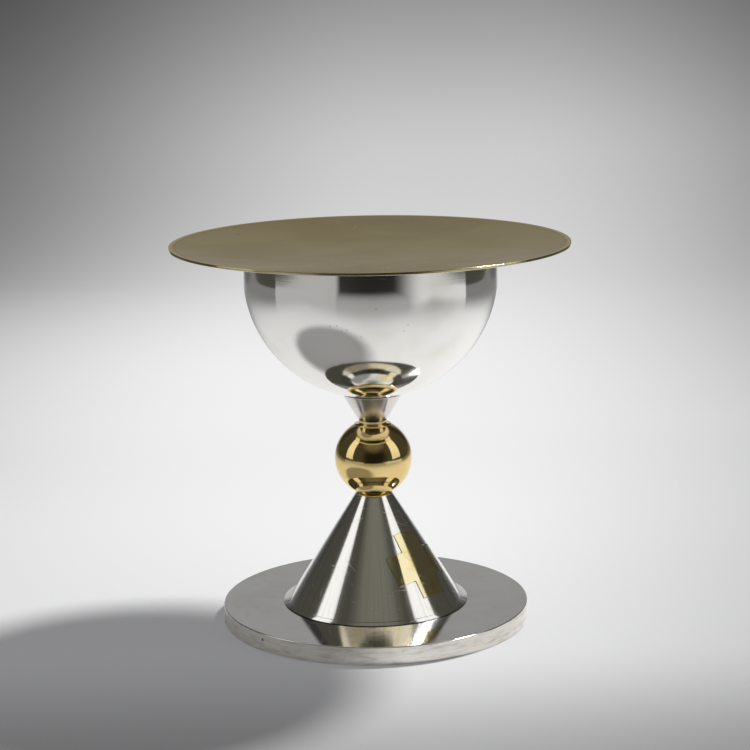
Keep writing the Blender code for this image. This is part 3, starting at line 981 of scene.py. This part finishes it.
def make_bowl(outside, inside):
    radius, bottom, top = extent("bowl_shell")
    inner_radius = radius - BOWL_WALL
    quarter = math.pi / 2.0
    outline = [(radius, top, BOWL_RIM_RADIUS)]
    outline += straight((radius, top), (radius, bowl_centre()), RIM_STEPS)
    outline += arc(radius, bowl_centre(), 0.0, -quarter, BOWL_STEPS)[:-1]
    outline += [(0.0, bottom, 0.0), (0.0, bottom + BOWL_WALL, 0.0)]
    outline += arc(inner_radius, bowl_centre(), -quarter, 0.0, BOWL_STEPS)[1:]
    outline += straight((inner_radius, bowl_centre()), (inner_radius, top), RIM_STEPS)
    outline += [(inner_radius, top, BOWL_RIM_RADIUS)]
    bowl = turned_piece("bowl_shell", outline, WIDE_SEGMENTS, "silver", outside, inside)
    for face in bowl.data.polygons:
        out = Vector((face.center.x, face.center.y, 0.0))
        facing_in = face.normal.dot(out) < 0.0 or (face.normal.z > 0.0 and face.center.z < bowl_centre())
        face.material_index = 1 if facing_in else 0


def make_dish(upper_look, under_look):
    radius, _, top = extent("paten_dish")

    def hollow(at_radius):
        return top - DISH_DEPTH * (1.0 - (at_radius / radius) ** 2)

    stations = [radius * step / DISH_STEPS for step in range(DISH_STEPS)]
    outline = [(station, hollow(station), 0.0) for station in stations]
    outline += [
        (radius, top, DISH_EDGE_RADIUS),
        (radius, top - DISH_THICKNESS, DISH_EDGE_RADIUS),
    ]
    outline += [(station, hollow(station) - DISH_THICKNESS, 0.0) for station in reversed(stations)]
    looks = (upper_look, under_look)
    dish = turned_piece("paten_dish", outline, WIDE_SEGMENTS, "satin_gilt", *looks, body="paten")
    for face in dish.data.polygons:
        face.material_index = 1 if face.normal.z < FACING_DOWN else 0


def dress_hidden_nodes():
    brass = hidden_metal("brass_machined", BRASS, smoothest=0.28, roughest=0.4375)
    steel = hidden_metal("steel_machined", STEEL, smoothest=0.304, roughest=0.475)
    silver = hidden_metal("silver_soldered", SILVER_FILM, smoothest=0.32, roughest=0.50)
    finishes = {
        "cone_plug": brass,
        "knop_core_tube": brass,
        "clamp_washer": brass,
        "tie_rod": steel,
        "lock_washer": steel,
        "clamp_nut": steel,
        "bowl_boss": silver,
    }
    for node, finish in finishes.items():
        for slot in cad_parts[node].material_slots:
            slot.material = finish


# --- studio ---
def sheet_mesh(name, rows):
    """Mesh through rows of points, each row as long as the others."""
    builder = bmesh.new()
    grid = [[builder.verts.new(point) for point in row] for row in rows]
    for upper, lower in zip(grid, grid[1:]):
        for index in range(len(upper) - 1):
            builder.faces.new([upper[index], upper[index + 1], lower[index + 1], lower[index]])
    return smooth_object(name, builder)


def sweep_mesh(name, front, half_width, distance, curve, height):
    """Floor that curves up into a wall behind the vessel."""
    profile = [(front, 0.0), (distance - curve, 0.0)]
    for step in range(1, SWEEP_STEPS + 1):
        angle = math.pi / 2.0 * step / SWEEP_STEPS
        profile.append((distance - curve + curve * math.sin(angle), curve * (1.0 - math.cos(angle))))
    profile.append((distance, height))
    rows = [[(-half_width, y, z), (half_width, y, z)] for y, z in profile]
    return sheet_mesh(name, rows)


class StageLook(Nodes):
    """Stage surface, whose shade depends on its place in the studio."""

    def __init__(self, name):
        self.material = bpy.data.materials.new(name)
        self.material.use_nodes = True
        super().__init__(self.material.node_tree)
        self.tree.nodes.clear()
        split = self.node("ShaderNodeSeparateXYZ")
        self.link(self.node("ShaderNodeTexCoord").outputs["Object"], split.inputs[0])
        self.across, self.depth, self.height = split.outputs

    def grey(self, value):
        made = self.node("ShaderNodeCombineColor")
        for socket in made.inputs:
            self.link(value, socket)
        return made.outputs[0]

    def glow(self, strength):
        made = self.node("ShaderNodeEmission")
        self.link(strength, made.inputs["Strength"])
        return made

    def finish(self, shader):
        output = self.node("ShaderNodeOutputMaterial")
        self.link(shader.outputs[0], output.inputs["Surface"])

    def finish_paper(self, shade, strength, share):
        """Matt paper lit by the studio, of which a share glows by itself instead."""
        matt = self.node("ShaderNodeBsdfDiffuse")
        self.feed(matt.inputs["Color"], shade)
        both = self.node("ShaderNodeMixShader")
        self.link(share, both.inputs[0])
        self.link(matt.outputs[0], both.inputs[1])
        self.link(self.glow(strength).outputs[0], both.inputs[2])
        self.finish(both)
        return self.material


def pale_floor():
    """Matt paper, lit near the vessel, whose colour darkens towards the front and the right as painted
    shade; far behind it the paper glows by itself with a painted fall of light.
    """
    look = StageLook("pale_floor")
    # painted shade: the floor's colour darkens towards the front and the right
    near = look.fade(look.depth, *FLOOR_FRONT_PAINTED_SHADE)
    right = look.fade(look.across, *FLOOR_RIGHT_PAINTED_SHADE)
    shade = look.grey(look.weighted(look.calc("MULTIPLY", near, right), FLOOR_SHADE))
    # painted light: the back glows by itself, darker towards its top and its sides
    back = look.calc("ADD", look.depth, look.height)
    rise = look.fade(back, *BACK_PAINTED_GLOW_RISE)
    top = look.fade(back, *BACK_PAINTED_GLOW_TOP)
    from_middle = look.calc("ABSOLUTE", look.calc("SUBTRACT", look.across, look.fade(back, *BACK_MIDDLE)))
    side = look.fade(from_middle, BACK_CORE, look.fade(back, *BACK_EDGE), 1.0, BACK_SIDE_GLOW)
    strength = look.calc("MULTIPLY", look.calc("MULTIPLY", rise, top), side)
    return look.finish_paper(shade, strength, look.fade(look.depth, *FLOOR_TO_BACK))


def mirrored_paper():
    """The same paper as the metal sees it: lit floor, and a wall that glows by itself with painted light,
    darker upwards and to its sides.
    """
    look = StageLook("mirrored_paper")
    aside = look.calc("ABSOLUTE", look.across)
    # painted light: the wall glows by itself, darker upwards and to its sides
    low = look.fade(look.height, *PAPER_LOW)
    high = look.fade(look.height, *PAPER_HIGH)
    beside = look.fade(aside, *PAPER_BESIDE)
    wall = look.calc("MULTIPLY", look.calc("MULTIPLY", low, high), beside)
    strength = look.fade(look.height, *PAPER_FOOT, wall)
    share = look.calc("MAXIMUM", look.fade(look.height, *PAPER_TO_WALL), look.fade(aside, *TO_SIDES))
    return look.finish_paper((*PAPER_SHADE, 1.0), strength, share)


def front_table():
    """Table before the vessel: lit near it; further out it glows by itself with painted light, pale far out
    on both sides and fading to painted shade towards the camera.
    """
    look = StageLook("front_table")
    aside = look.calc("ABSOLUTE", look.across)
    # painted light and shade: pale glow out to both sides, fading to dark towards the camera
    azimuth = look.calc("ARCTAN2", look.across, look.weighted(look.depth, -1.0))
    sides = look.calc("ADD", look.fade(azimuth, *TABLE_LEFT_PAINTED_GLOW), look.fade(azimuth, *TABLE_RIGHT_PAINTED_GLOW))
    strength = look.calc("MAXIMUM", sides, look.fade(look.depth, *TABLE_MIDDLE_PAINTED_SHADE))
    share = look.calc("MAXIMUM", look.fade(look.depth, *TABLE_TO_GLOW), look.fade(aside, *TO_SIDES))
    return look.finish_paper((*PAPER_SHADE, 1.0), strength, share)


def make_floors():
    """One sweep for the camera, and a narrower one that only the metal and the bounced light see."""
    seen = sweep_mesh("floor_seen", *SEEN_FLOOR, *SEEN_WALL)
    seen.data.materials.append(pale_floor())
    paper = sweep_mesh("paper_mirrored", *PAPER_FLOOR, *PAPER_WALL)
    paper.data.materials.append(mirrored_paper())
    seen.visible_glossy = False
    seen.visible_diffuse = False
    paper.visible_camera = False
    for floor in (seen, paper):
        floor.visible_shadow = False


def make_front_table():
    front, back, half_width = FRONT_TABLE
    rows = [[(-half_width, y, 0.0), (half_width, y, 0.0)] for y in (front, back)]
    table = sheet_mesh("table_mirrored", rows)
    table.data.materials.append(front_table())
    table.visible_camera = False
    table.visible_shadow = False


def make_card(name, place):
    """Curved panel round the vessel that shows in the metal and gives light, but not to the camera."""
    start, end, bottom, top = place
    azimuths = [math.radians(start + (end - start) * step / CARD_STEPS) for step in range(CARD_STEPS + 1)]
    rows = [[bearing(azimuth, CARD_DISTANCE, height) for azimuth in azimuths] for height in (bottom, top)]
    card = sheet_mesh(name, rows)
    look = StageLook(name + "_glow")
    low, high, least = SOFTBOX_FALL
    glow = look.glow(look.fade(look.height, low, high, least, 1.0))
    glow.inputs["Color"].default_value = (*SOFTBOX_GLOW, 1.0)
    look.finish(glow)
    card.data.materials.append(look.material)
    card.visible_camera = False
    card.visible_shadow = False


def make_key_light():
    lamp = bpy.data.lights.new("key", "SPOT")
    lamp.shadow_soft_size = KEY_SIZE / 2.0
    lamp.spot_size = KEY_CONE
    lamp.spot_blend = 1.0
    lamp.energy = KEY_POWER
    key = bpy.data.objects.new("key", lamp)
    key.location = bearing(KEY_AZIMUTH, math.cos(KEY_ELEVATION) * KEY_DISTANCE,
                           math.sin(KEY_ELEVATION) * KEY_DISTANCE)
    key.rotation_euler = (Vector(KEY_AIM) - key.location).to_track_quat("-Z", "Y").to_euler()
    key.visible_camera = False
    bpy.context.scene.collection.objects.link(key)


def patch(look, direction, azimuth, elevation, inner, outer, at_centre, outside):
    """Value that changes smoothly with the angle from a direction of the room; all angles in degrees."""
    azimuth, elevation, inner, outer = map(math.radians, (azimuth, elevation, inner, outer))
    nearness = look.node("ShaderNodeVectorMath", operation="DOT_PRODUCT")
    look.link(direction, nearness.inputs[0])
    nearness.inputs[1].default_value = bearing(azimuth, math.cos(elevation), math.sin(elevation))
    return look.fade(nearness.outputs["Value"], math.cos(outer), math.cos(inner), outside, at_centre)


def make_world():
    """Pale for the camera, a soft fill for the paper, dark for the metal: the room lights are off."""
    world = bpy.data.worlds.new("room")
    world.use_nodes = True
    look = Nodes(world.node_tree)
    background = look.tree.nodes["Background"]
    direction = look.node("ShaderNodeTexCoord").outputs["Generated"]
    *ceiling, ceiling_glow = CEILING_PATCH
    *camera, camera_share = CAMERA_PATCH
    shade = patch(look, direction, *camera, camera_share, 1.0)
    room = look.calc("ADD", look.calc("MULTIPLY", shade, ROOM_GLOW),
                     patch(look, direction, *ceiling, ceiling_glow, 0.0))
    rays = look.node("ShaderNodeLightPath")
    look.link(look.blend(rays.outputs["Is Glossy Ray"], STUDIO_TINT, ROOM_TINT), background.inputs["Color"])
    strength = look.calc("MULTIPLY", rays.outputs["Is Glossy Ray"], room)
    for ray, glow in (("Is Camera Ray", PALE_GLOW), ("Is Diffuse Ray", FILL_GLOW)):
        strength = look.calc("ADD", strength, look.calc("MULTIPLY", rays.outputs[ray], glow))
    look.link(strength, background.inputs["Strength"])
    bpy.context.scene.world = world


def make_camera():
    lens = bpy.data.cameras.new("camera")
    lens.lens = CAMERA_LENS
    lens.clip_start, lens.clip_end = CAMERA_CLIP
    camera = bpy.data.objects.new("camera", lens)
    upright = Euler((math.pi / 2.0 + CAMERA_PITCH, 0.0, CAMERA_YAW)).to_matrix()
    camera.rotation_euler = (upright @ Euler((0.0, 0.0, CAMERA_ROLL)).to_matrix()).to_euler()
    camera.location = CAMERA_PLACE
    bpy.context.scene.collection.objects.link(camera)
    bpy.context.scene.camera = camera


# --- all of it ---
def build_vessel():
    plate_look = plate_silver()
    cone_look = cone_silver()
    gilt_look = plain_gilt("polished_gilt_turned", smoothest=0.056, roughest=0.091)
    make_plate(plate_look)
    make_recess_cover(plate_look)
    make_foot_ring(cone_look)
    make_cone(cone_look)
    make_cross(cross_gilt())
    make_washer("knop_washer_lower", gilt_look)
    make_ball(gilt_look)
    make_washer("knop_washer_upper", gilt_look)
    make_neck(gilt_look)
    make_collar(collar_silver())
    make_bowl(bowl_silver(), plain_gilt("inside_gilt", smoothest=0.128, roughest=0.208))
    make_dish(dish_gilt(), dish_underside())
    dress_hidden_nodes()


def build_studio():
    make_floors()
    make_card("softbox_left", LEFT_SOFTBOX)
    make_card("softbox_right", RIGHT_SOFTBOX)
    make_front_table()
    make_key_light()
    make_world()
    make_camera()
    bpy.context.scene.view_settings.view_transform = "Standard"


build_vessel()
build_studio()
